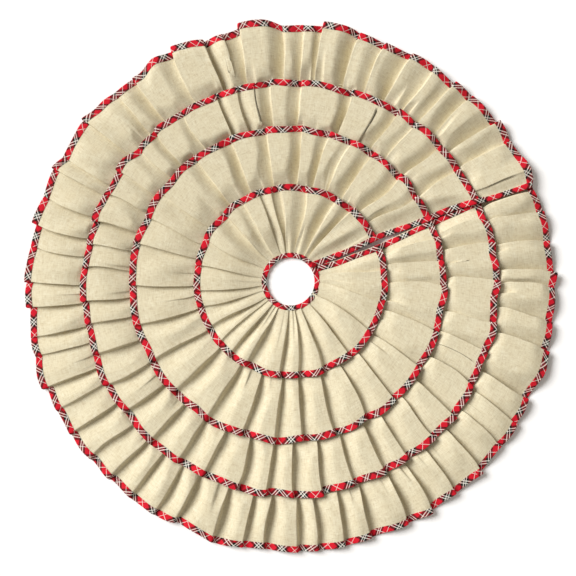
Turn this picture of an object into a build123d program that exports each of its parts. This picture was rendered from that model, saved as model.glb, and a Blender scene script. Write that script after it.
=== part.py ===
"""Ruffled tree skirt with a trunk opening and a slit, in millimetres.

The skirt lies flat on the floor with +Z up. The origin is at the centre of the trunk opening, at floor
level. The slit runs outwards along +X. Left is the +Y side of the slit and right is the -Y side.

A flat base cloth carries four gathered ruffles, each lapping over the heading of the next one out. Folded
tape binds the neck, the four ruffle hems and both edges of the slit. On each side of the slit a flap folds
back about a radial line, so every layer is divided there into a back part and two flap parts.
"""

from build123d import *
from math import cos, radians, sin, tan
import os

# Plan sizes, as radii about the trunk opening
NECK_RADIUS = 55.5
HEM_RADII = [223.0, 365.0, 481.0, 608.0]
LAP = 22.0  # how far each ruffle's heading lies under the hem of the ruffle inside it
BASE_RADIUS = 505.0

# Binding tape, folded over a raw edge
TAPE = 1.2
HEM_TAPE_WIDTH = 15.0
NECK_TAPE_WIDTH = 11.5
SLIT_TAPE_WIDTH = 13.0
TAPE_CORNER = 0.9

# Heights above the floor
BASE_BOTTOM = TAPE
BASE_TOP = BASE_BOTTOM + 1.5
HEADING_TOP = BASE_TOP + 6.0
THREAD = 0.8
CLEARANCE = 0.3
UPPER_TAPE_BOTTOM = HEADING_TOP + THREAD + CLEARANCE
UPPER_HEM_BOTTOM = UPPER_TAPE_BOTTOM + TAPE
UPPER_HEM_TOP = UPPER_HEM_BOTTOM + 6.0
UPPER_TAPE_TOP = UPPER_HEM_TOP + TAPE
OUTER_HEM_BOTTOM = TAPE
OUTER_HEM_TOP = OUTER_HEM_BOTTOM + 6.0
OUTER_CREST_TOP = 12.0

# Slit and flaps
SLIT_Y = 10.0  # the slit's centre line passes this far beside the trunk's centre
SLIT_GAP = 4.0
FLAP_ANGLE = 40.0  # from +X to each fold line
FOLD_GAP = 0.3  # half the space left between a flap and the back

# Angles at which the strips of each ruffle are seamed together, round the back
STRIP_SEAMS = [[180.0], [180.0], [180.0], [133.0, 227.0]]

# Ramps, where a ruffle climbs over the heading of the next one
RAMP = 45.0
RAMP_END_GAP = 8.0
CREST_LEAD = 10.0
FLAT_START = 10.0

# Rows of gathering thread, measured outwards from a heading's edge
THREAD_ROWS = [5.0, 11.0]
THREAD_WIDTH = 1.2

FAR = 1400.0  # beyond the skirt in any direction
TALL = 60.0

headings = [NECK_RADIUS + TAPE] + [hem - LAP for hem in HEM_RADII[:3]]
inner_hems = [NECK_RADIUS + NECK_TAPE_WIDTH] + HEM_RADII[:3]


def turned(points):
    """A full ring about Z from an outline of (radius, height) points."""
    outline = make_face(Polyline(*points, close=True))
    return revolve(Plane.XZ * outline, axis=Axis.Z)


def folded_tape(low, high, slot_low, slot_high, edge, width, inward=True):
    """A ring of tape folded over a cloth edge: a U section open towards the cloth."""
    side = -1 if inward else 1
    middle = edge + side * width / 2
    body = Pos(middle, (low + high) / 2) * Rectangle(width, high - low)
    rounded = body.vertices().sort_by(Axis.X)[2:] if inward else body.vertices().sort_by(Axis.X)[:2]
    body = fillet(rounded, TAPE_CORNER)
    slot_start = edge + side * TAPE
    slot_end = edge + side * (width + 1)
    slot = Pos((slot_start + slot_end) / 2, (slot_low + slot_high) / 2) * Rectangle(
        abs(slot_end - slot_start), slot_high - slot_low
    )
    return revolve(Plane.XZ * (body - slot), axis=Axis.Z)


def prism(points):
    """An upright prism through the whole height of the skirt, from its plan outline."""
    return Pos(0, 0, -TALL / 2) * extrude(make_face(Polyline(*points, close=True)), TALL)


def ray(angle, distance=FAR):
    """The plan point at an angle and a distance from the origin."""
    return (distance * cos(radians(angle)), distance * sin(radians(angle)))


def sector(start, end):
    """The plan between two rays from the origin, less than half a turn apart."""
    third = (end - start) / 3
    return prism([(0, 0)] + [ray(start + i * third) for i in range(4)])


def flap_region(side, edge_y):
    """The plan of one flap, from its fold line to a line along the slit. side is +1 left and -1 right."""
    fold = radians(FLAP_ANGLE)
    along = (side * edge_y + FOLD_GAP * cos(fold)) / sin(fold)
    corner_x = along * cos(fold) + FOLD_GAP * sin(fold)
    far_y = side * (side * edge_y + (FAR - corner_x) * tan(fold))
    return prism([(corner_x, edge_y), (FAR, edge_y), (FAR, far_y)])


def between_folds():
    """The plan of both flaps and the slit, which the back part leaves free."""
    fold = radians(FLAP_ANGLE)
    apex = -FOLD_GAP / sin(fold)
    reach = (FAR - apex) * tan(fold)
    return prism([(apex, 0), (FAR, -reach), (FAR, reach)])


def slit_face(side):
    """The height in Y of the slit's face on one side."""
    return SLIT_Y + side * SLIT_GAP / 2


def ramp_end(tier):
    """The radius at which a ruffle has climbed clear of the heading under its hem."""
    return headings[tier + 1] - RAMP_END_GAP


def ruffle_ring(tier):
    """One ruffle as a plain ring, from its heading to its hem."""
    heading = headings[tier]
    cloth_edge = HEM_RADII[tier] - TAPE
    flat_end = inner_hems[tier] + FLAT_START
    if tier < 3:
        end = ramp_end(tier)
        bottom = [(end - RAMP, BASE_TOP), (end, UPPER_HEM_BOTTOM), (cloth_edge, UPPER_HEM_BOTTOM)]
        top = [(cloth_edge, UPPER_HEM_TOP), (end - CREST_LEAD, UPPER_HEM_TOP)]
    else:
        tape_start = HEM_RADII[tier] - HEM_TAPE_WIDTH
        bottom = [
            (BASE_RADIUS + 2, BASE_TOP),
            (BASE_RADIUS + 15, OUTER_HEM_BOTTOM),
            (cloth_edge, OUTER_HEM_BOTTOM),
        ]
        top = [
            (cloth_edge, OUTER_HEM_TOP),
            (tape_start, OUTER_HEM_TOP),
            ((flat_end + tape_start) / 2, OUTER_CREST_TOP),
        ]
    return turned([(heading, BASE_TOP)] + bottom + top + [(flat_end, HEADING_TOP), (heading, HEADING_TOP)])


def hem_binding_ring(tier):
    """The tape round one ruffle's hem."""
    heights = (UPPER_TAPE_BOTTOM, UPPER_TAPE_TOP, UPPER_HEM_BOTTOM, UPPER_HEM_TOP)
    if tier == 3:
        heights = (0, OUTER_HEM_TOP + TAPE, OUTER_HEM_BOTTOM, OUTER_HEM_TOP)
    return folded_tape(*heights, HEM_RADII[tier], HEM_TAPE_WIDTH)


def neck_binding_ring():
    """The tape round the trunk opening, over the base and the first heading."""
    return folded_tape(
        0, HEADING_TOP + TAPE, BASE_BOTTOM, HEADING_TOP, NECK_RADIUS, NECK_TAPE_WIDTH, inward=False
    )


def base_ring():
    """The flat cloth under all the ruffles, in one ring."""
    start = NECK_RADIUS + TAPE
    outer = [(BASE_RADIUS, BASE_BOTTOM), (BASE_RADIUS, BASE_TOP)]
    return turned([(start, BASE_BOTTOM)] + outer + [(start, BASE_TOP)])


def thread_ring(radius):
    """One row of gathering thread lying on a heading."""
    section = Pos(radius + THREAD_WIDTH / 2, HEADING_TOP + THREAD / 2) * Rectangle(THREAD_WIDTH, THREAD)
    return revolve(Plane.XZ * section, axis=Axis.Z)


def slit_roof(rise):
    """The top line of the layers along the slit, raised by a height, as (x, z) points."""
    low = HEADING_TOP + CLEARANCE + rise
    high = UPPER_TAPE_TOP + rise
    lead = 8.0
    points = []
    for tier in range(3):
        points += [
            (inner_hems[tier] + FLAT_START - lead, low),
            (ramp_end(tier) - CREST_LEAD - lead, high),
            (HEM_RADII[tier] + 1, high),
            (HEM_RADII[tier] + 1, low),
        ]
    crest = OUTER_CREST_TOP + CLEARANCE + rise
    return points + [(HEM_RADII[2] + FLAT_START - lead, low), (520.0, crest), (620.0, crest)]


def slit_binding(side):
    """The straight tape along one edge of the slit, folded over the ends of all the layers."""
    start_x = 40.0
    face = slit_face(side)
    roof = slit_roof(TAPE)
    room = slit_roof(0)
    outline = [(start_x, 0), (roof[-1][0], 0)] + roof[::-1] + [(start_x, roof[0][1])]
    hollow = [(start_x, BASE_BOTTOM), (room[-1][0], BASE_BOTTOM)] + room[::-1] + [(start_x, room[0][1])]
    body = extrude(Plane.XZ * make_face(Polyline(*outline, close=True)), -SLIT_TAPE_WIDTH)
    inside = extrude(Plane.XZ * make_face(Polyline(*hollow, close=True)), -SLIT_TAPE_WIDTH)
    body = body - Pos(0, TAPE, 0) * inside
    if side < 0:
        body = mirror(body, Plane.XZ)
    body = Pos(0, face, 0) * body
    neck = Cylinder(NECK_RADIUS + NECK_TAPE_WIDTH, 4 * TALL)
    outside = Cylinder(HEM_RADII[3] - HEM_TAPE_WIDTH, 4 * TALL)
    return (body & outside) - neck


def write(name, shape):
    """Writes one sub-part, and prints how many solids it has and their volume."""
    solids = shape.solids()
    print(f"{name:34s} {len(solids)} solids {shape.volume / 1000:9.1f} cm3")
    export_step(Compound(children=list(solids)) if len(solids) > 1 else solids[0], f"parts/{name}.step")


def write_divided(name, ring, meets_slit_face=False, strips=None):
    """Writes a ring of cloth as its back part, or the strips of it, and its two flap parts."""
    back = ring - between_folds()
    if strips:
        ends = [FLAP_ANGLE] + strips + [360 - FLAP_ANGLE]
        for number, (start, end) in enumerate(zip(ends, ends[1:]), 1):
            write(f"{name}_strip_{number}", back & sector(start, end))
    else:
        write(f"{name}_back", back)
    for side, word in ((1, "left"), (-1, "right")):
        edge_y = slit_face(side) + (0 if meets_slit_face else side * TAPE)
        write(f"{name}_{word}_flap", ring & flap_region(side, edge_y))


os.makedirs("parts", exist_ok=True)
write_divided("base_cloth", base_ring())
write_divided("neck_binding", neck_binding_ring(), meets_slit_face=True)
for tier in range(4):
    number = tier + 1
    write_divided(f"ruffle_{number}", ruffle_ring(tier), strips=STRIP_SEAMS[tier])
    write_divided(f"hem_binding_{number}", hem_binding_ring(tier), meets_slit_face=tier == 3)
    if tier > 0:
        rows = [thread_ring(headings[tier] + row) for row in THREAD_ROWS]
        write_divided(f"gathering_thread_{number}", Compound(children=rows))
for side, word in ((1, "left"), (-1, "right")):
    write(f"slit_binding_{word}", slit_binding(side))
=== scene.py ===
"""Ruffled burlap tree skirt with tartan binding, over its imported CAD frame.

Sizes in this file are in millimetres and degrees until a mesh is made. Angles turn anticlockwise seen from
above, from 0 along +X, where the slit runs outwards.
"""

import math

import bpy
import numpy as np
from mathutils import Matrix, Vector


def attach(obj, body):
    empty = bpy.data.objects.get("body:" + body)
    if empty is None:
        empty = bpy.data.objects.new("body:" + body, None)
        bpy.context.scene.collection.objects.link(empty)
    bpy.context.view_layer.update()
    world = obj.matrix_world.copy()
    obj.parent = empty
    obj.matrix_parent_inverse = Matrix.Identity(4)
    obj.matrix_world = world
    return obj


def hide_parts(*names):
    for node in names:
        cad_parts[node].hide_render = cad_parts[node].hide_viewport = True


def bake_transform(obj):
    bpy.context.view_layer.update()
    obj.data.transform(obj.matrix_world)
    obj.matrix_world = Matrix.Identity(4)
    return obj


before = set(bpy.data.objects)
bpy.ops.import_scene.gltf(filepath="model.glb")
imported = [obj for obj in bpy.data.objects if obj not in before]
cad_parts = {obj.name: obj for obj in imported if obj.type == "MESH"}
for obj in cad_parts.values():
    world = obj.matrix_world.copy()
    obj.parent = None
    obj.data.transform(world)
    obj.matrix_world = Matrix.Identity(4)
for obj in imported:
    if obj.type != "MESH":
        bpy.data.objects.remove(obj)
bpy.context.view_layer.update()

MM = 0.001
VIEW_TURN = 21.0  # the slit appears this far above the picture's horizontal
SIDE = 68.0  # the flap pieces reach this far round
SLIT_GUARD = 1e-6  # keeps the first and last column on their own side of the slit, in degrees

# Hems: mean radius, and how far the ring of the hem lies off centre, towards which angle
HEMS = [(223.0, 0.0, 0.0), (365.0, 10.0, 204.0), (480.0, 16.0, 245.0), (609.0, 15.0, 249.0)]
NECK = 55.5  # radius of the trunk opening
LAP = 22.0  # how far each heading lies under the hem above
BASE_EDGE = 505.0  # outer radius of the base cloth, as in CAD
BASE_HEIGHT = 1.6

# Widths of the tape as folded over the hems, the slit's edges and the neck, and its thickness there
TAPE_WIDTH, SLIT_TAPE, NECK_TAPE = 14.5, 12.5, 11.0
TAPE_THICK, SLIT_THICK, NECK_THICK = 3.0, 4.0, 5.0

LOWEST = 2.1  # the outmost ruffle comes no lower than this
HIGHEST = 26.5  # no ruffle's cloth comes higher than this
UNDER_HEM = 3.2  # room below the hem above

CORNER = 18.0  # radius of the outer hem's corner beside the slit
OVERLAP = 16.0  # how much higher the left side of the slit lies, where it laps over the right side

# The slit's two edges: distance out along +X, and how far beside the centre line, both read from a
# straightened crop of the photo
LEFT_EDGE = [
    (0, 12.0), (78, 12.0), (117, 12.2), (155, 13), (194, 15.5), (220, 18), (251, 18), (309, 16),
    (348, 16.5), (405, 18), (440, 16), (463, 13.5), (501, 8.5), (540, 6.5), (578, 4.5), (640, 4.5),
]
RIGHT_EDGE = [
    (0, 10.5), (78, 10.5), (117, 6.5), (155, 6.3), (194, 5.4), (232, 6.5), (271, 9), (309, 11.5),
    (348, 14.0), (386, 15.5), (425, 17), (463, 19.5), (500, 22), (540, 21), (578, 19.5), (640, 19),
]


def smooth(x):
    """Rises from 0 to 1 as x does, level at both ends."""
    x = np.clip(x, 0, 1)
    return x * x * (3 - 2 * x)


def along(points, x):
    """A smooth curve through (x, value) points."""
    xs = np.array([p[0] for p in points], float)
    ys = np.array([p[1] for p in points], float)
    slope = np.gradient(ys, xs)
    i = np.clip(np.searchsorted(xs, x) - 1, 0, len(xs) - 2)
    h = xs[i + 1] - xs[i]
    t = np.clip((x - xs[i]) / h, 0, 1)
    return ((2 * t**3 - 3 * t**2 + 1) * ys[i] + (t**3 - 2 * t**2 + t) * h * slope[i]
            + (-2 * t**3 + 3 * t**2) * ys[i + 1] + (t**3 - t**2) * h * slope[i + 1])


def waves(rng, low, high, count=7):
    """A smooth seeded function of angle in degrees, about -1 to 1, with whole waves to the turn."""
    n = rng.integers(low, high + 1, count)
    p = rng.uniform(0, 2 * np.pi, count)
    a = rng.uniform(0.5, 1, count)
    a /= np.sqrt((a**2).sum())
    return lambda u: sum(a[k] * np.sin(np.radians(u) * n[k] + p[k]) for k in range(count))


def hem_radius(tier, angle):
    mean, off, towards = HEMS[tier]
    return mean + off * np.cos(np.radians(angle - towards))


def heading_radius(tier, angle):
    if tier == 0:
        return NECK + 2 + 0 * angle
    return hem_radius(tier - 1, angle) - LAP


def slit_turn(u, r):
    """How far in radians column u is turned away from the slit at radius r, to follow the slit's edges."""
    signed = (u + 180) % 360 - 180
    fade = np.clip((SIDE - np.abs(signed)) / SIDE, 0, 1) ** 2
    left = np.arcsin(along(LEFT_EDGE, r) / r)
    right = np.arcsin(along(RIGHT_EDGE, r) / r)
    return fade * np.where(signed >= 0, left, right)


def off_slit(u, side):
    """Keeps a flap's end column on its own side of the slit."""
    if side == "left":
        u[0] = SLIT_GUARD
    if side == "right":
        u[-1] = 360 - SLIT_GUARD
    return u


def round_turn(points):
    """A smooth function of angle through (angle in the picture, value) points, closed round the turn."""
    turn = [(p - VIEW_TURN, q) for p, q in points]
    many = sorted((p + t, q) for p, q in turn for t in (-720, -360, 0, 360, 720))
    return lambda u: along(many, np.asarray(u, float))


# Round the skirt: how high the folds stand, how far they lean over, how wide the steep side of each is
# and how wide its gentle side at most, how much the folds die down by the hem, and how dented the cloth is
STAND = round_turn([
    (0, 1.35), (45, 1.15), (90, 1.22), (125, 1.25), (150, 1.12), (175, 0.86), (205, 0.80), (235, 1.02),
    (275, 1.05), (305, 1.12), (335, 1.35),
])
LEAN = round_turn([
    (0, 0.80), (30, 0.60), (60, 0.42), (90, 0.40), (135, 0.42), (160, 0.58), (180, 0.62), (205, 0.38),
    (225, 0.20), (250, 0.20), (275, 0.26), (300, 0.50), (330, 0.85),
])
STEEP = round_turn([
    (0, 8.0), (45, 11), (75, 13), (105, 13), (135, 12), (155, 9), (175, 8), (200, 12), (225, 17),
    (250, 15), (275, 13), (300, 12), (330, 9),
])
WIDE = round_turn([
    (0, 42), (45, 40), (90, 40), (130, 42), (160, 46), (205, 46), (250, 46), (300, 46), (330, 43),
])
CALM = round_turn([
    (0, 0.32), (45, 0.18), (100, 0.10), (140, 0.18), (170, 0.44), (215, 0.42), (240, 0.32), (285, 0.30),
    (325, 0.38),
])
DENTED = round_turn([
    (0, 1.7), (45, 1.4), (90, 1.3), (130, 1.8), (165, 1.2), (200, 1.0), (240, 1.1), (285, 1.2), (320, 1.7),
])
TURNED = (104.0, 113.0)  # between these angles in the picture the folds lie the other way
REACH = {0: 15.0, 1: 18.0, 2: 18.5, 3: 21.0}  # the tallest fold of each ruffle


class Ruffle:
    """One gathered ruffle as a height field of folds, sheared sideways so the folds lean over and lap.

    A point is found from its angle u and from v, which runs from 0 at the heading to 1 at the hem. Valleys
    run outwards between the folds, steep on one side and gradual on the other.
    """

    def __init__(self, tier, folds, seed, above=None):
        rng = np.random.default_rng(seed)
        self.tier, self.above = tier, above
        weights = {"deep": 1.0, "middle": 0.82, "slight": 0.54}
        marks = sorted(((a - VIEW_TURN) % 360, w) for kind, w in weights.items() for a in folds[kind])
        self.valley = valley = np.array([m[0] for m in marks], float)
        weight = np.array([m[1] for m in marks], float)
        n = len(valley)
        mid = np.pi * hem_radius(tier, valley) / 180
        after = np.diff(np.append(valley, valley[0] + 360))
        before = np.roll(after, 1)
        picture = (valley + VIEW_TURN) % 360
        self.turned = (picture > TURNED[0]) & (picture < TURNED[1])
        steep_gap = np.where(self.turned, after, before)
        gentle_gap = np.where(self.turned, before, after)
        steep = STEEP(valley) * rng.uniform(0.75, 1.2, n) * (0.3 + 0.7 * weight) / mid
        self.steep = np.minimum(steep, 0.42 * steep_gap)
        self.gentle = np.minimum(gentle_gap * rng.uniform(0.5, 0.82, n), WIDE(valley) / mid)
        deep = weight * rng.uniform(0.88, 1.04, n) * np.clip(gentle_gap * mid / 32, 0.6, 1.0)
        self.deep = np.minimum(deep, 1.0)
        self.curve = rng.uniform(1.6, 2.3, n)
        self.lean_own = rng.uniform(0.75, 1.25, n) * np.where(self.turned, -1, 1)
        # outward steps of the hem: each stretch between two valleys can stand out and end in a step
        self.step = rng.uniform(-0.5, 0.9, n)
        self.step_shape = np.full(n, 2.2)
        self.stretch = before
        for angle, size, shape in folds["steps"]:
            k = np.abs((valley - (angle - VIEW_TURN) + 180) % 360 - 180).argmin()
            self.step[k] = size
            self.step_shape[k] = shape
        # short tucks that start under the heading and fade out
        k = int(n * (1.9 if tier == 0 else 1.15))
        self.tuck = (np.arange(k) + rng.uniform(-0.42, 0.42, k)) * 360 / k
        self.tuck_deep = rng.uniform(0.1, 0.85, k) ** 1.5
        self.tuck_end = rng.uniform(0.28, 0.85, k)
        self.tuck_gentle = 360 / k * rng.uniform(0.5, 0.9, k)
        self.tuck_steep = rng.uniform(8, 15, k) / mid.mean()
        self.drift = [waves(rng, 3, 9) for _ in range(2)] + [waves(rng, 10, 26) for _ in range(2)]
        self.wobble = waves(rng, 6, 30, 12)
        # shallow dents, as waves across the cloth in many directions
        across = 360 / (rng.uniform(46, 130, 14) / mid.mean())
        slant, phase = rng.uniform(-4.5, 4.5, 14), rng.uniform(0, 2 * np.pi, 14)
        self.dent = np.stack([np.round(across), slant, phase], 1)

    def valleys(self, u, v):
        """Depth, 0 on the folds and 1 in a valley; how far the hem steps out; and the folds' own lean."""
        shape = np.broadcast(u, v).shape
        left, out, lean, total = np.ones(shape), np.zeros(shape), np.zeros(shape), np.full(shape, 1e-6)
        near_neck = 0.55 + 0.45 * smooth(v / 0.6)
        narrowest = 0.75 if self.tier == 0 else 0.50
        opening = narrowest + (1 - narrowest) * smooth(v / 0.5)
        for at, deep, steep, gentle, curve, turned, own in zip(
                self.valley, self.deep, self.steep, self.gentle, self.curve, self.turned, self.lean_own):
            d = (u - at + 180) % 360 - 180
            d = -d if turned else d
            on_steep = 0.5 + 0.5 * np.cos(np.pi * np.clip(-d / (steep * near_neck), 0, 1))
            on_gentle = 1 - np.sin(np.pi / 2 * np.clip(d / (gentle * opening), 0, 1)) ** curve
            left *= 1 - deep * np.where(d < 0, on_steep, on_gentle)
            near = np.exp(-((d + steep) / (0.4 * gentle)) ** 2)
            lean += own * near
            total += near
        for at, size, power, stretch, steep in zip(
                self.valley, self.step, self.step_shape, self.stretch, self.steep):
            d = (at - u + 180) % 360 - 180
            end = min(steep, 0.3 * stretch)
            x = np.clip((d - end) / (stretch - end), 0, 1)
            rise = np.where((d >= end) & (d < stretch), (1 - x**power) ** 1.3, 0)
            wave = 0.5 - 0.5 * np.cos(np.pi * np.clip(d / end, 0, 1))
            drop = np.where((d < end) & (d > 0), wave, 0)
            out += size * (rise + drop)
        return 1 - left, out, lean / total

    def tucks(self, u, v):
        """How deep the short tucks by the heading are, from 0 to 1."""
        left = np.ones(np.broadcast(u, v).shape)
        for at, deep, end, gentle, steep in zip(
                self.tuck, self.tuck_deep, self.tuck_end, self.tuck_gentle, self.tuck_steep):
            d = (u - at + 180) % 360 - 180
            fade = 1 - smooth(v / end)
            narrow = 0.35 + 0.65 * fade
            x = np.where(d < 0, -d / (steep * narrow), d / (gentle * narrow))
            left *= 1 - deep * fade * (1 - smooth(x))
        return 1 - left

    def crowd(self, u):
        """0 where there are few folds, 1 where they are close together."""
        d = (np.asarray(u)[..., None] - self.valley + 180) % 360 - 180
        return np.clip((self.deep * np.exp(-(d / 10) ** 2)).sum(-1) / 1.4, 0, 1)

    def floor(self, v):
        """The height of the valleys between the folds."""
        if self.tier == 3:
            return 3.6 - 1.4 * smooth(v / 0.3)
        return 3.6 + 9.0 * smooth((v - 0.05) / 0.85)

    def place(self, u, v):
        """Points for angle u and v, both in arrays of one shape. Returns x, y, z in millimetres."""
        tier = self.tier
        r0 = heading_radius(tier, u)
        length = hem_radius(tier, u) - r0
        signed = (u + 180) % 360 - 180
        beside = np.abs(signed) * np.pi / 180 * (r0 + v * length)
        near_slit = smooth((beside - 9) / 34)
        if tier == 3:
            # the lapped side lies low in a strip beside the slit
            near_slit = np.where(signed < 0, smooth((beside - 22) / 13), near_slit)
        low, step, own = self.valleys(u, v)
        tuck = self.tucks(u, v)
        if tier == 0:
            grow = 0.2 + 0.8 * smooth(v / 0.55)
        else:
            grow = 0.42 + 0.58 * smooth((v - 0.02) / 0.42)
        calm = 1 - CALM(u) * smooth((v - 0.5) / 0.5)
        level = 0.70 + 0.30 * self.crowd(u[0] if u.ndim > 1 else u)
        h = REACH[tier] * STAND(u) * grow * calm * level * (1 - low) * (1 - 0.85 * tuck)
        if tier == 3:
            h = h * (1 - 0.24 * smooth((v - 0.75) / 0.25))
        h = h * (0.16 + 0.84 * near_slit)
        dent = sum(np.sin(np.radians(u) * n + m * v * 2 + p) for n, m, p in self.dent) * 0.36 * DENTED(u)
        z = self.floor(v) + h + dent * (0.25 + 0.75 * smooth(4 * v * (1 - v))) * near_slit
        lap = OVERLAP * smooth((r0 + v * length - 400) / 90) * (1 - smooth(beside / 70))
        z = z + np.where(signed >= 0, lap, 0)
        # sideways: lean of the folds, and slow drift of the fold lines
        arc = h / (grow * np.sqrt(calm)) * 1.05 * LEAN(u) * own * (0.7 + 0.3 * smooth(v / 0.3))
        slow = self.drift[0](u) * np.sin(2.4 * v + 0.4) + self.drift[1](u) * np.sin(3.6 * v * v)
        quick = self.drift[2](u) * np.sin(3.0 * v) + self.drift[3](u) * np.sin(5.0 * v + 1)
        arc = arc + (3.2 * slow + 1.6 * quick) * near_slit
        # outwards: the hem wanders, and steps at each lap
        wander = [1.0, 2.0, 2.6, 3.2][tier] * self.wobble(u) + 0.7 * dent
        r = r0 + v * length + smooth((v - 0.3) / 0.7) * near_slit * (step + wander)
        if tier == 3:
            corner = CORNER - np.sqrt(CORNER**2 - np.clip(CORNER - beside, 0, CORNER) ** 2)
            swell, shrink = 8 * np.exp(-((beside - 45) / 38) ** 2), 3 * np.exp(-(beside / 60) ** 2)
            r = r + v**4 * np.where(signed >= 0, swell - corner, -shrink)
        angle = np.radians(u) + arc / np.maximum(r, 40) + slit_turn(u, r)
        x, y = r * np.cos(angle), r * np.sin(angle)
        if tier == 3:
            z = LOWEST + np.logaddexp(0, (z - LOWEST) / 0.5) * 0.5
        z = HIGHEST - np.logaddexp(0, (HIGHEST - z) / 0.8) * 0.8
        if self.above is not None:
            z = self.under(np.degrees(np.arctan2(y, x)), r, z)
        return x, y, z

    def under(self, angle, r, z):
        """Keeps the surface below the hem of the ruffle above, as far out as that hem reaches."""
        at, hem_r, hem_z = self.above
        roof = np.interp(angle % 360, at, hem_z) - UNDER_HEM
        roof = roof + 40 * smooth((r - np.interp(angle % 360, at, hem_r) - 1) / 34)
        return roof - np.logaddexp(0, roof - z)

    def hem_line(self):
        """The hem as angles, radii and the least height near each, for the ruffle below."""
        u = np.arange(0.5, 360, 0.25)
        x, y, z = self.place(u, 0.985 + 0 * u)
        inner = self.place(u, 0.90 + 0 * u)[2]
        at = np.degrees(np.arctan2(y, x)) % 360
        order = np.argsort(at)
        at, r, z = at[order], np.hypot(x, y)[order], np.minimum(z, inner)[order]
        z = np.min([np.roll(z, k) for k in range(-5, 6)], axis=0)
        return at, r, z

    def columns(self, start, end):
        """Angles of the mesh columns from start to end, closer together at the folds."""
        marks = []
        for at, steep, gentle, turned in zip(self.valley, self.steep, self.gentle, self.turned):
            side = -1 if turned else 1
            steps = (0.0, 0.12, 0.25, 0.38, 0.5, 0.62, 0.75, 0.88, 1.0, 1.15)
            marks += [at - side * steep * f for f in steps]
            steps = (0.04, 0.09, 0.15, 0.22, 0.3, 0.4, 0.5, 0.6, 0.72, 0.85, 1.0)
            marks += [at + side * gentle * f for f in steps]
        for at, steep, gentle in zip(self.tuck, self.tuck_steep, self.tuck_gentle):
            marks += [at - steep * f for f in (0.0, 0.25, 0.5, 0.75, 1.0)]
            marks += [at + gentle * f for f in (0.15, 0.3, 0.5, 0.75)]
        marks = sorted(m + t for m in marks for t in (-360, 0, 360))
        per_mm = 180 / (np.pi * HEMS[self.tier][0])
        kept = [start]
        for m in marks:
            if start + 0.05 < m < end - 0.05 and m - kept[-1] > 0.6 * per_mm:
                kept.append(m)
        kept.append(end)
        full = []
        for a, b in zip(kept, kept[1:]):
            n = max(1, int(math.ceil((b - a) / (6.0 * per_mm))))
            full += [a + (b - a) * i / n for i in range(n)]
        return np.array(full + [end])


# Where each ruffle's folds lie, inmost first: the angles of the valleys between them as seen in the picture.
# Most were found by a separate script that looked for dark lines in the photo, and then rounded. The rest
# were moved or added. steps are the hem's steps as (angle, size in millimetres, shape), where a higher shape
# makes the hem stand out sooner
FOLDS = [
    {
        "deep": [48, 60, 98, 134, 212, 232, 244, 264, 292, 309],
        "middle": [81, 170, 185, 196, 276, 326],
        "slight": [5, 27, 110, 120, 153, 222, 345],
        "steps": [],
    },
    {
        "deep": [43, 56, 86, 99, 113, 128, 196, 211, 225, 240, 253, 266, 275, 287, 299],
        "middle": [5, 31, 75, 166, 181, 311, 325, 339],
        "slight": [14, 65, 145, 155, 355],
        "steps": [(166, 3, 2), (253, 2, 2), (311, 3, 2)],
    },
    {
        "deep": [
            41, 57, 72, 87, 96, 112, 163, 185, 201, 210, 219, 230, 239, 247, 256, 264, 271, 279, 288,
            297, 320, 328.5,
        ],
        "middle": [8.5, 32, 105, 132, 176, 192, 304, 312, 338.7, 357.6],
        "slight": [50, 122, 138, 147, 154, 169, 346.7],
        "steps": [
            (57, 6, 2), (147, 6, 2), (163, 4, 2), (185, 4, 1.6), (210, 5, 2), (279, 4, 2), (312, 3, 2),
        ],
    },
    {
        "deep": [
            7, 37, 62, 74.5, 92, 109.7, 167, 186, 204, 215, 228, 245, 254, 265, 272, 282, 288, 296,
            302, 315, 333,
        ],
        "middle": [0.5, 19, 45, 101.6, 128, 160.7, 180, 192.5, 222, 234, 240, 260, 276, 308, 343.3, 349.5],
        "slight": [
            13, 32, 50, 56, 68, 82.5, 87, 117, 133, 142, 151, 154.5, 171.8, 196.5, 209, 321, 327,
            356.4,
        ],
        "steps": [
            (0.5, 7, 1.5), (37, 8, 2), (50, 5, 2), (68, 3, 2), (82.5, 10, 6), (87, -2, 2), (92, -3, 2),
            (101.6, 9, 5), (109.7, -2, 2), (117, 11, 6), (128, 3, 2), (142, 6, 2), (154.5, 6, 2),
            (167, 11, 1.5), (180, 5, 1.3), (186, 11, 3), (204, 11, 4), (215, 4, 2), (228, 4, 2),
            (245, 5, 2), (272, 4, 2), (302, 4, 2), (315, 8, 2), (327, 5, 2), (343.3, 7, 1.6),
        ],
    },
]


def new_mesh(name, verts, faces, uv=None):
    """A smooth mesh object from points in millimetres. uv holds one pair for each point, in metres."""
    mesh = bpy.data.meshes.new(name)
    v = np.asarray(verts, np.float32).reshape(-1, 3) * MM
    f = np.asarray(faces, np.int32)
    mesh.vertices.add(len(v))
    mesh.vertices.foreach_set("co", v.ravel())
    mesh.loops.add(f.size)
    mesh.loops.foreach_set("vertex_index", f.ravel())
    mesh.polygons.add(len(f))
    mesh.polygons.foreach_set("loop_start", np.arange(0, f.size, f.shape[1], dtype=np.int32))
    mesh.polygons.foreach_set("use_smooth", np.ones(len(f), bool))
    mesh.update(calc_edges=True)
    if uv is not None:
        layer = mesh.uv_layers.new(name="UVMap")
        layer.data.foreach_set("uv", np.asarray(uv, np.float32)[f.ravel()].ravel())
    mesh.validate()
    ob = bpy.data.objects.new(name, mesh)
    bpy.context.scene.collection.objects.link(ob)
    return ob


def grid_faces(rows, cols, flip=False):
    """Quads of a grid of rows by cols points, row after row. flip turns them over."""
    i, j = np.meshgrid(np.arange(rows - 1), np.arange(cols - 1), indexing="ij")
    a, b = i * cols + j, (i + 1) * cols + j
    q = np.stack([a, a + 1, b + 1, b], -1).reshape(-1, 4)
    return q[:, ::-1] if flip else q


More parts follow.
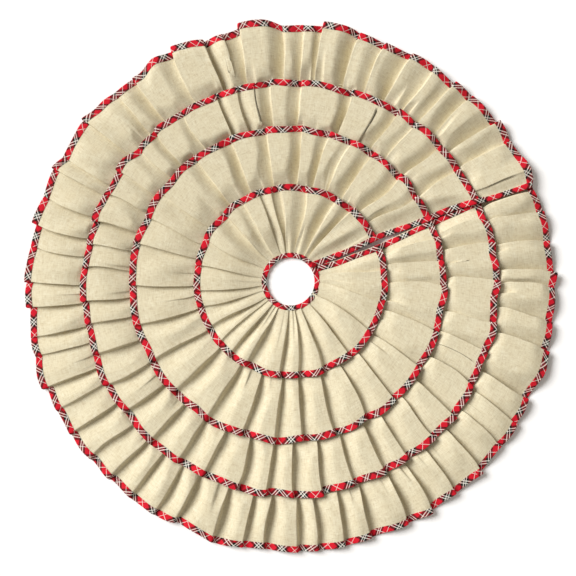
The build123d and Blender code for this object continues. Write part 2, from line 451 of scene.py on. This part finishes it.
def lengths(p, axis):
    """Running length of a grid of points along an axis."""
    d = np.linalg.norm(np.diff(p, axis=axis), axis=-1)
    pad = [(0, 0), (0, 0)]
    pad[axis] = (1, 0)
    return np.cumsum(np.pad(d, pad), axis=axis)


def bend(ob, side):
    """Attaches a back piece to the skirt's body; for a flap piece it only bakes its placement into the mesh.
    side is left, right, or None for the back.
    """
    if side is None:
        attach(ob, "skirt")
        return
    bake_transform(ob)


SPANS = [("left", 0.0, SIDE), (None, SIDE, 360.0 - SIDE), ("right", 360.0 - SIDE, 360.0)]


# ---------------------------------------------------------------- materials

def material(name):
    """A new material, its node tree and its shader."""
    m = bpy.data.materials.new(name)
    m.use_nodes = True
    nt = m.node_tree
    nt.nodes.clear()
    out = nt.nodes.new("ShaderNodeOutputMaterial")
    b = nt.nodes.new("ShaderNodeBsdfPrincipled")
    nt.links.new(b.outputs[0], out.inputs[0])
    return m, nt, b


class Graph:
    """Short names for the shader nodes used here."""

    def __init__(self, nt):
        self.nt = nt

    def node(self, kind, **sets):
        n = self.nt.nodes.new(kind)
        for k, v in sets.items():
            setattr(n, k, v)
        return n

    def put(self, socket, value):
        if hasattr(value, "is_output"):
            self.nt.links.new(value, socket)
        else:
            socket.default_value = value

    def math(self, op, a, b=0.0, c=0.0, clamp=False):
        n = self.node("ShaderNodeMath", operation=op, use_clamp=clamp)
        self.put(n.inputs[0], a)
        self.put(n.inputs[1], b)
        self.put(n.inputs[2], c)
        return n.outputs[0]

    def mix(self, f, a, b, blend="MIX"):
        n = self.node("ShaderNodeMix", data_type="RGBA", blend_type=blend)
        self.put(n.inputs[0], f)
        self.put(n.inputs[6], a)
        self.put(n.inputs[7], b)
        return n.outputs[2]

    def noise(self, vector, scale, detail=2.0, rough=0.5):
        n = self.node("ShaderNodeTexNoise")
        self.put(n.inputs["Vector"], vector)
        n.inputs["Scale"].default_value = scale
        n.inputs["Detail"].default_value = detail
        n.inputs["Roughness"].default_value = rough
        return n.outputs[0]

    def above(self, value, level, gain):
        """How far value is above level, times gain, from 0 to 1."""
        return self.math("MULTIPLY", self.math("SUBTRACT", value, level, clamp=True), gain, clamp=True)

    def split(self, vector):
        n = self.node("ShaderNodeSeparateXYZ")
        self.put(n.inputs[0], vector)
        return n.outputs[0], n.outputs[1]

    def combine(self, x, y, z=0.0):
        n = self.node("ShaderNodeCombineXYZ")
        self.put(n.inputs[0], x)
        self.put(n.inputs[1], y)
        self.put(n.inputs[2], z)
        return n.outputs[0]

    def ramp(self, value, stops, hold="LINEAR"):
        n = self.node("ShaderNodeValToRGB")
        self.put(n.inputs[0], value)
        r = n.color_ramp
        r.interpolation = hold
        r.elements[0].position = stops[0][0]
        r.elements[1].position = stops[-1][0]
        for p, _ in stops[1:-1]:
            r.elements.new(p)
        for e, (_, c) in zip(r.elements, stops):
            e.color = (*c, 1)
        return n.outputs[0]


def burlap():
    m, nt, b = material("burlap")
    g = Graph(nt)
    u, v = g.split(g.node("ShaderNodeUVMap").outputs[0])
    pitch = 0.0019

    def scaled(times_u, times_v, shift=0.0):
        return g.combine(g.math("MULTIPLY", u, times_u), g.math("MULTIPLY", v, times_v), shift)

    def wobble(where):
        return g.math("MULTIPLY", g.math("SUBTRACT", g.noise(where, 1.0, 2), 0.5), 0.0016)

    # threads wander a little along their length
    pu = g.math("DIVIDE", g.math("ADD", u, wobble(scaled(90, 22))), pitch)
    pv = g.math("DIVIDE", g.math("ADD", v, wobble(scaled(22, 90, 7.0))), pitch)
    cu = g.math("SINE", g.math("MULTIPLY", pu, math.pi))
    cv = g.math("SINE", g.math("MULTIPLY", pv, math.pi))
    thick_u, thick_v = g.math("ABSOLUTE", cu), g.math("ABSOLUTE", cv)
    weave = g.math("ADD", g.math("MULTIPLY", thick_u, 0.5), g.math("MULTIPLY", thick_v, 0.5))
    weave = g.math("ADD", weave, g.math("MULTIPLY", g.math("MULTIPLY", cu, cv), 0.25))
    # slubs: thick light or dark stretches of single threads, one set each way
    thread_u, thread_v = (g.math("MULTIPLY", g.math("ROUND", p), 7.3) for p in (pu, pv))
    slub_u = g.noise(g.combine(thread_u, g.math("MULTIPLY", v, 70.0)), 1.0, 1)
    slub_v = g.noise(g.combine(g.math("MULTIPLY", u, 70.0), thread_v, 3.0), 1.0, 1)
    slub = g.math("ADD", g.math("MULTIPLY", slub_u, 0.5), g.math("MULTIPLY", slub_v, 0.5))
    cloud = g.noise(g.combine(u, v, 1.5), 26.0, 4, 0.6)
    colour = g.ramp(slub, [
        (0.30, (0.57, 0.49, 0.33)), (0.46, (0.68, 0.61, 0.435)),
        (0.58, (0.73, 0.67, 0.49)), (0.72, (0.80, 0.75, 0.58)),
    ])
    # painted shade: the gaps between the threads are made darker, where shade falls into the weave
    gap_shade = g.math("MULTIPLY", g.math("SUBTRACT", 1.0, thick_u), g.math("SUBTRACT", 1.0, thick_v))
    colour = g.mix(g.math("MULTIPLY", gap_shade, 0.6, clamp=True), colour, (0.42, 0.32, 0.17, 1))
    colour = g.mix(g.above(cloud, 0.42, 0.8), colour, (0.63, 0.53, 0.33, 1))
    fuzz = g.noise(g.combine(u, v, 4.0), 1400.0, 2, 0.6)
    colour = g.mix(g.above(fuzz, 0.55, 1.1), colour, (0.88, 0.83, 0.65, 1))
    nt.links.new(colour, b.inputs["Base Color"])
    b.inputs["Roughness"].default_value = 0.92
    b.inputs["Specular IOR Level"].default_value = 0.12
    b.inputs["Sheen Weight"].default_value = 0.03
    b.inputs["Sheen Roughness"].default_value = 0.6
    bump = g.node("ShaderNodeBump")
    bump.inputs["Strength"].default_value = 0.75
    bump.inputs["Distance"].default_value = 0.0007
    fine = g.math("ADD", g.math("MULTIPLY", slub, 1.2), g.math("MULTIPLY", fuzz, 0.3))
    g.put(bump.inputs["Height"], g.math("ADD", g.math("MULTIPLY", weave, 0.7), fine))
    nt.links.new(bump.outputs[0], b.inputs["Normal"])
    return m


def tartan(name, width):
    """Woven tartan on the bias, stitched by its inner edge. v runs across the tape from its fold."""
    m, nt, b = material(name)
    g = Graph(nt)
    u, v = g.split(g.node("ShaderNodeUVMap").outputs[0])
    # the pattern wanders slowly across the tape along its length
    slow = g.noise(g.combine(g.math("MULTIPLY", u, 3.4), 0.0), 1.0, 1)
    wander = g.math("MULTIPLY", g.math("SUBTRACT", slow, 0.40), 0.13)
    w = g.math("ADD", g.math("ADD", v, width / 2 * MM), wander)
    root = math.sqrt(0.5)
    a = g.math("MULTIPLY", g.math("ADD", u, w), root)
    c = g.math("MULTIPLY", g.math("SUBTRACT", u, w), root)
    sett = 0.045
    red, black, white = (0.60, 0.012, 0.026), (0.009, 0.013, 0.011), (0.82, 0.80, 0.72)
    lines = [
        (0.0, black), (0.115, white), (0.160, black), (0.235, white), (0.280, black), (0.395, red),
        (0.655, white), (0.680, red),
    ]

    def stripes(t):
        return g.ramp(g.math("FRACT", g.math("DIVIDE", t, sett)), lines, hold="CONSTANT")

    ribs = g.math("DIVIDE", g.math("ADD", a, g.math("MULTIPLY", c, 0.5)), 0.0011)
    warp, weft = stripes(a), stripes(c)
    # fine ribs of warp and weft by turns, darker where a red yarn crosses a black one
    colour = g.mix(g.math("GREATER_THAN", g.math("FRACT", ribs), 0.5), warp, weft)
    colour = g.mix(0.50, colour, g.mix(1.0, warp, weft, "DARKEN"))
    # the white yarns stand out over the others
    pale = g.mix(1.0, warp, weft, "LIGHTEN")
    split = g.node("ShaderNodeSeparateColor")
    nt.links.new(pale, split.inputs[0])
    on_white = g.math("MULTIPLY", g.math("GREATER_THAN", split.outputs[1], 0.4), 0.62)
    colour = g.mix(on_white, colour, (*white, 1))
    worn = g.noise(g.combine(u, v), 90.0, 3)
    dull = g.math("MULTIPLY", g.math("SUBTRACT", worn, 0.5, clamp=True), 0.35)
    colour = g.mix(dull, colour, (0.20, 0.02, 0.03, 1))
    seam_in, stitch_pitch = 1.9 * MM, 0.0027
    off = g.math("ABSOLUTE", g.math("SUBTRACT", g.math("ABSOLUTE", v), width * MM - seam_in))
    along_u = g.math("FRACT", g.math("DIVIDE", u, stitch_pitch))
    dash = g.math("ABSOLUTE", g.math("SUBTRACT", along_u, 0.5))
    stitch = g.math("MULTIPLY", g.math("LESS_THAN", off, 0.00028), g.math("LESS_THAN", dash, 0.34))
    colour = g.mix(stitch, colour, (0.33, 0.012, 0.02, 1))
    nt.links.new(colour, b.inputs["Base Color"])
    b.inputs["Roughness"].default_value = 0.8
    b.inputs["Specular IOR Level"].default_value = 0.10
    bump = g.node("ShaderNodeBump")
    bump.inputs["Strength"].default_value = 0.4
    bump.inputs["Distance"].default_value = 0.0004
    weave = g.math("MULTIPLY", g.math("SINE", g.math("MULTIPLY", ribs, 2 * math.pi)), 0.5)
    creases = g.math("MULTIPLY", g.noise(g.combine(u, v, 2.0), 160.0, 2), 1.4)
    seam = g.math("MULTIPLY", g.math("LESS_THAN", off, 0.0006), -1.5)
    g.put(bump.inputs["Height"], g.math("ADD", g.math("ADD", weave, creases), seam))
    nt.links.new(bump.outputs[0], b.inputs["Normal"])
    return m


BURLAP = burlap()
TARTAN = {
    "hem": tartan("tartan_tape", TAPE_WIDTH),
    "slit": tartan("tartan_tape_slit", SLIT_TAPE),
    "neck": tartan("tartan_tape_neck", NECK_TAPE),
}


# ---------------------------------------------------------------- ruffles and their hem tape

def strips(tier):
    """(name, side, first angle, last angle, CAD nodes stood for) of each part of a ruffle."""
    n = tier + 1
    seams = [180.0] if tier < 3 else [133.0, 227.0]
    ends = [SIDE] + seams + [360 - SIDE]
    out = [(f"ruffle_{n}_left", "left", 0.0, SIDE, [f"ruffle_{n}_left_flap"])]
    for i, (a, b) in enumerate(zip(ends, ends[1:]), 1):
        out.append((f"ruffle_{n}_part_{i}", None, a, b, [f"ruffle_{n}_strip_{i}"]))
    return out + [(f"ruffle_{n}_right", "right", 360 - SIDE, 360.0, [f"ruffle_{n}_right_flap"])]


def tape_profile(width, thick, count=7):
    """Closed outline of a folded tape as (distance in from the hem, height, distance round) points."""
    half = thick / 2

    def flat_side(t):
        return width * (1 - t), half * min(1.0, 0.55 + 6 * t) + 0.25 * math.sin(math.pi * t)

    top = [flat_side(t) for t in np.linspace(0, 0.93, count)]
    end = math.pi * 0.36
    nose = [(-0.9 * math.cos(a), half * math.sin(a)) for a in np.linspace(end, -end, 5)]
    low = [(x, -y) for x, y in top[::-1]]
    pts = top + nose + low
    d = [0.0]
    for p, q in zip(pts, pts[1:]):
        d.append(d[-1] + math.dist(p, q))
    mid = d[len(d) // 2]
    return [(x, y, r - mid) for (x, y), r in zip(pts, d)]


def tape_mesh(name, rows, profile, run, shift, tartan_kind, flip=True):
    """A tape from one row of points for each point of its profile. run is the distance along it in metres."""
    p = np.stack(rows, 0)
    round_it = np.array([q[2] for q in profile])[:, None] * MM
    uv = np.stack([np.broadcast_to(run, p.shape[:2]) + shift, np.broadcast_to(round_it, p.shape[:2])], -1)
    ob = new_mesh(name, p.reshape(-1, 3), grid_faces(*p.shape[:2], flip=flip), uv.reshape(-1, 2))
    ob.data.materials.append(TARTAN[tartan_kind])
    return ob


def build_ruffle(tier, above):
    """One ruffle's sheets and the tape along its hem."""
    ruffle = Ruffle(tier, FOLDS[tier], 40 + tier, above)
    length = HEMS[tier][0] - (NECK if tier == 0 else HEMS[tier - 1][0] - LAP)
    rows = int(length / 4.2)
    into_tape = 3.0
    v = np.linspace(0, 1 - (TAPE_WIDTH - into_tape) / length, rows)
    for name, side, start, end, nodes in strips(tier):
        u = off_slit(ruffle.columns(start, end), side)
        grid_v, grid_u = np.meshgrid(v, u, indexing="ij")
        p = np.stack(ruffle.place(grid_u, grid_v), -1)
        across = lengths(p, 0).mean(1)[:, None] + 0 * grid_v
        run = lengths(p, 1)[int(rows * 0.6)][None, :] + 0 * grid_v
        uv = np.stack([run * MM + tier * 3.1 + start * 0.01, across * MM], -1)
        ob = new_mesh(name, p.reshape(-1, 3), grid_faces(len(v), len(u)), uv.reshape(-1, 2))
        ob.data.materials.append(BURLAP)
        bend(ob, side)
        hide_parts(*nodes)
    for side, start, end in SPANS:
        make_hem_tape(ruffle, tier, side, off_slit(ruffle.columns(start, end), side), length)
    return ruffle


def make_hem_tape(ruffle, tier, side, u, length):
    """The tape folded over a ruffle's hem: its outline swept along the folds."""
    profile = tape_profile(TAPE_WIDTH, TAPE_THICK)
    eps = 0.004
    pattern_start = {"left": 0.0, None: 0.4, "right": 0.9}[side]
    rows = []
    for back, lift, _ in profile:
        vv = np.full_like(u, 1 - back / length)
        p = np.stack(ruffle.place(u, vv), -1)
        dv = np.stack(ruffle.place(u, vv + eps), -1) - np.stack(ruffle.place(u, vv - eps), -1)
        du = np.gradient(p, axis=0)
        n = np.cross(du, dv)
        n /= np.linalg.norm(n, axis=1, keepdims=True) + 1e-9
        rows.append(p - n * lift)
    run = np.concatenate([[0], np.cumsum(np.linalg.norm(np.diff(rows[0], axis=0), axis=1))])
    name = f"hem_tape_{tier + 1}_{side or 'back'}"
    node = f"hem_binding_{tier + 1}_{side}_flap" if side else f"hem_binding_{tier + 1}_back"
    ob = tape_mesh(name, rows, profile, run * MM, tier * 1.37 + pattern_start, "hem")
    bend(ob, side)
    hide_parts(node)


RUFFLES = []
for number in range(4):
    RUFFLES.append(build_ruffle(number, RUFFLES[-1].hem_line() if RUFFLES else None))


# ---------------------------------------------------------------- base cloth, neck tape, slit tape

def build_base():
    """The flat base cloth, in a piece for each flap and one for the back."""
    inner = NECK + 2
    r = np.linspace(inner, BASE_EDGE, 56)
    for side, start, end in SPANS:
        u = off_slit(np.linspace(start, end, max(24, int((end - start) / 1.6))), side)
        grid_u, grid_r = np.meshgrid(u, r)
        a = np.radians(grid_u) + slit_turn(grid_u, grid_r)
        p = np.stack([grid_r * np.cos(a), grid_r * np.sin(a), BASE_HEIGHT + 0 * grid_r], -1)
        uv = np.stack([p[..., 0] * MM, p[..., 1] * MM], -1)
        name = f"base_cloth_{side or 'middle'}"
        ob = new_mesh(name, p.reshape(-1, 3), grid_faces(len(r), len(u)), uv.reshape(-1, 2))
        ob.data.materials.append(BURLAP)
        bend(ob, side)
        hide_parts(f"base_cloth_{side}_flap" if side else "base_cloth_back")


def build_neck():
    """The tape round the trunk opening."""
    profile = tape_profile(NECK_TAPE, NECK_THICK)
    for side, start, end in SPANS:
        u = off_slit(np.linspace(start, end, max(30, int((end - start) / 1.5))), side)
        rows = []
        for back, lift, _ in profile:
            r = NECK + 0.9 + back + 0 * u
            a = np.radians(u) + slit_turn(u, r)
            ripple = 0.35 * np.sin(np.radians(u * 23)) * max(0, lift)
            rows.append(np.stack([r * np.cos(a), r * np.sin(a), 4.6 + lift * 1.15 + ripple], -1))
        run = np.radians(u) * (NECK + 6) * MM
        ob = tape_mesh(f"neck_tape_{side or 'back'}", rows, profile, run, 7.7, "neck")
        bend(ob, side)
        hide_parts(f"neck_binding_{side}_flap" if side else "neck_binding_back")


def top_beside(side, x):
    """The highest cloth within a tape's width of a slit edge, at distances x outwards."""
    top = np.full(len(x), 4.0)
    for ruffle in RUFFLES:
        v = np.linspace(0, 1, 240)
        for beside in (0.0, 4.0, 8.0, 12.0):
            out = heading_radius(ruffle.tier, 0 * v) * (1 - v) + hem_radius(ruffle.tier, 0 * v) * v
            u = np.degrees(beside / out) + 1e-6
            px, _, pz = ruffle.place(u if side == "left" else 360 - u, v)
            pz = pz + 1.9 * smooth((v - 0.85) / 0.03)
            top = np.maximum(top, np.interp(x, px, pz, left=0, right=0))
    spread = np.max([np.roll(top, k) for k in range(-2, 3)], axis=0)
    return np.convolve(np.pad(spread, 3, mode="edge"), np.ones(7) / 7, "valid")


def build_slit():
    """The tape along each edge of the slit, over the ends of all the layers."""
    profile = tape_profile(SLIT_TAPE, SLIT_THICK)
    x = np.linspace(60, 600, 200)
    right_top = top_beside("right", x) + 1.5
    for side, edge in (("right", RIGHT_EDGE), ("left", LEFT_EDGE)):
        sign = 1 if side == "left" else -1
        y = along(edge, x)
        low = np.full(len(x), 0.7)
        top = right_top
        if side == "left":
            low = low + smooth((x - 300) / 60) * (right_top + 0.3 - low)
            top = np.maximum(top_beside("left", x) + 1.5, low + 3.0)
        rows = []
        for back, lift, _ in profile:
            share = (lift + SLIT_THICK / 2 + 0.25) / (SLIT_THICK + 0.5)  # 0 at the bottom, 1 at the top
            rows.append(np.stack([x, y + sign * back, low + (top - low) * share], -1))
        shift = 5.2 if side == "left" else 6.03
        ob = tape_mesh(f"slit_tape_{side}", rows, profile, x * MM, shift, "slit", flip=side == "left")
        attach(ob, f"{side}_flap")
        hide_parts(f"slit_binding_{side}")


build_base()
build_neck()
build_slit()

thread, _, thread_shader = material("cotton_thread")
thread_shader.inputs["Base Color"].default_value = (0.72, 0.64, 0.47, 1)
thread_shader.inputs["Roughness"].default_value = 0.8
for name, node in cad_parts.items():
    if name.startswith("gathering_thread"):
        node.data.materials.clear()
        node.data.materials.append(thread)


# ---------------------------------------------------------------- floor, light, camera

def build_studio():
    mesh = bpy.data.meshes.new("floor")
    s = 6.0
    mesh.from_pydata([(-s, -s, 0), (s, -s, 0), (s, s, 0), (-s, s, 0)], [], [(0, 1, 2, 3)])
    floor = bpy.data.objects.new("floor", mesh)
    bpy.context.scene.collection.objects.link(floor)
    m, _, b = material("studio_floor")
    b.inputs["Base Color"].default_value = (0.96, 0.96, 0.96, 1)
    b.inputs["Roughness"].default_value = 0.9
    mesh.materials.append(m)

    sun = bpy.data.lights.new("key", "SUN")
    sun.energy = 4.15
    sun.angle = math.radians(36)
    ob = bpy.data.objects.new("key", sun)
    bpy.context.scene.collection.objects.link(ob)
    a, e = math.radians(153 - VIEW_TURN), math.radians(37)
    ob.location = (3 * math.cos(e) * math.cos(a), 3 * math.cos(e) * math.sin(a), 3 * math.sin(e))
    ob.rotation_euler = Vector(ob.location).to_track_quat("Z", "Y").to_euler()
    world = bpy.data.worlds.new("studio")
    bpy.context.scene.world = world
    world.use_nodes = True
    bg = world.node_tree.nodes["Background"]
    bg.inputs[0].default_value = (1.0, 0.94, 0.85, 1)
    bg.inputs[1].default_value = 0.38


def build_camera():
    cam = bpy.data.cameras.new("camera")
    cam.lens = 85
    cam.sensor_width = 36
    ob = bpy.data.objects.new("camera", cam)
    bpy.context.scene.collection.objects.link(ob)
    width = 576 * 2.313 * MM
    height = width / 2 / math.tan(math.atan(18 / 85))
    t = math.radians(-VIEW_TURN)
    x, y = -2.6 * 2.313 * MM, -6.5 * 2.313 * MM
    ob.location = (x * math.cos(t) - y * math.sin(t), x * math.sin(t) + y * math.cos(t), height + 0.012)
    ob.rotation_euler = (0, 0, t)
    bpy.context.scene.camera = ob


build_studio()
build_camera()
bpy.context.scene.view_settings.view_transform = "Standard"
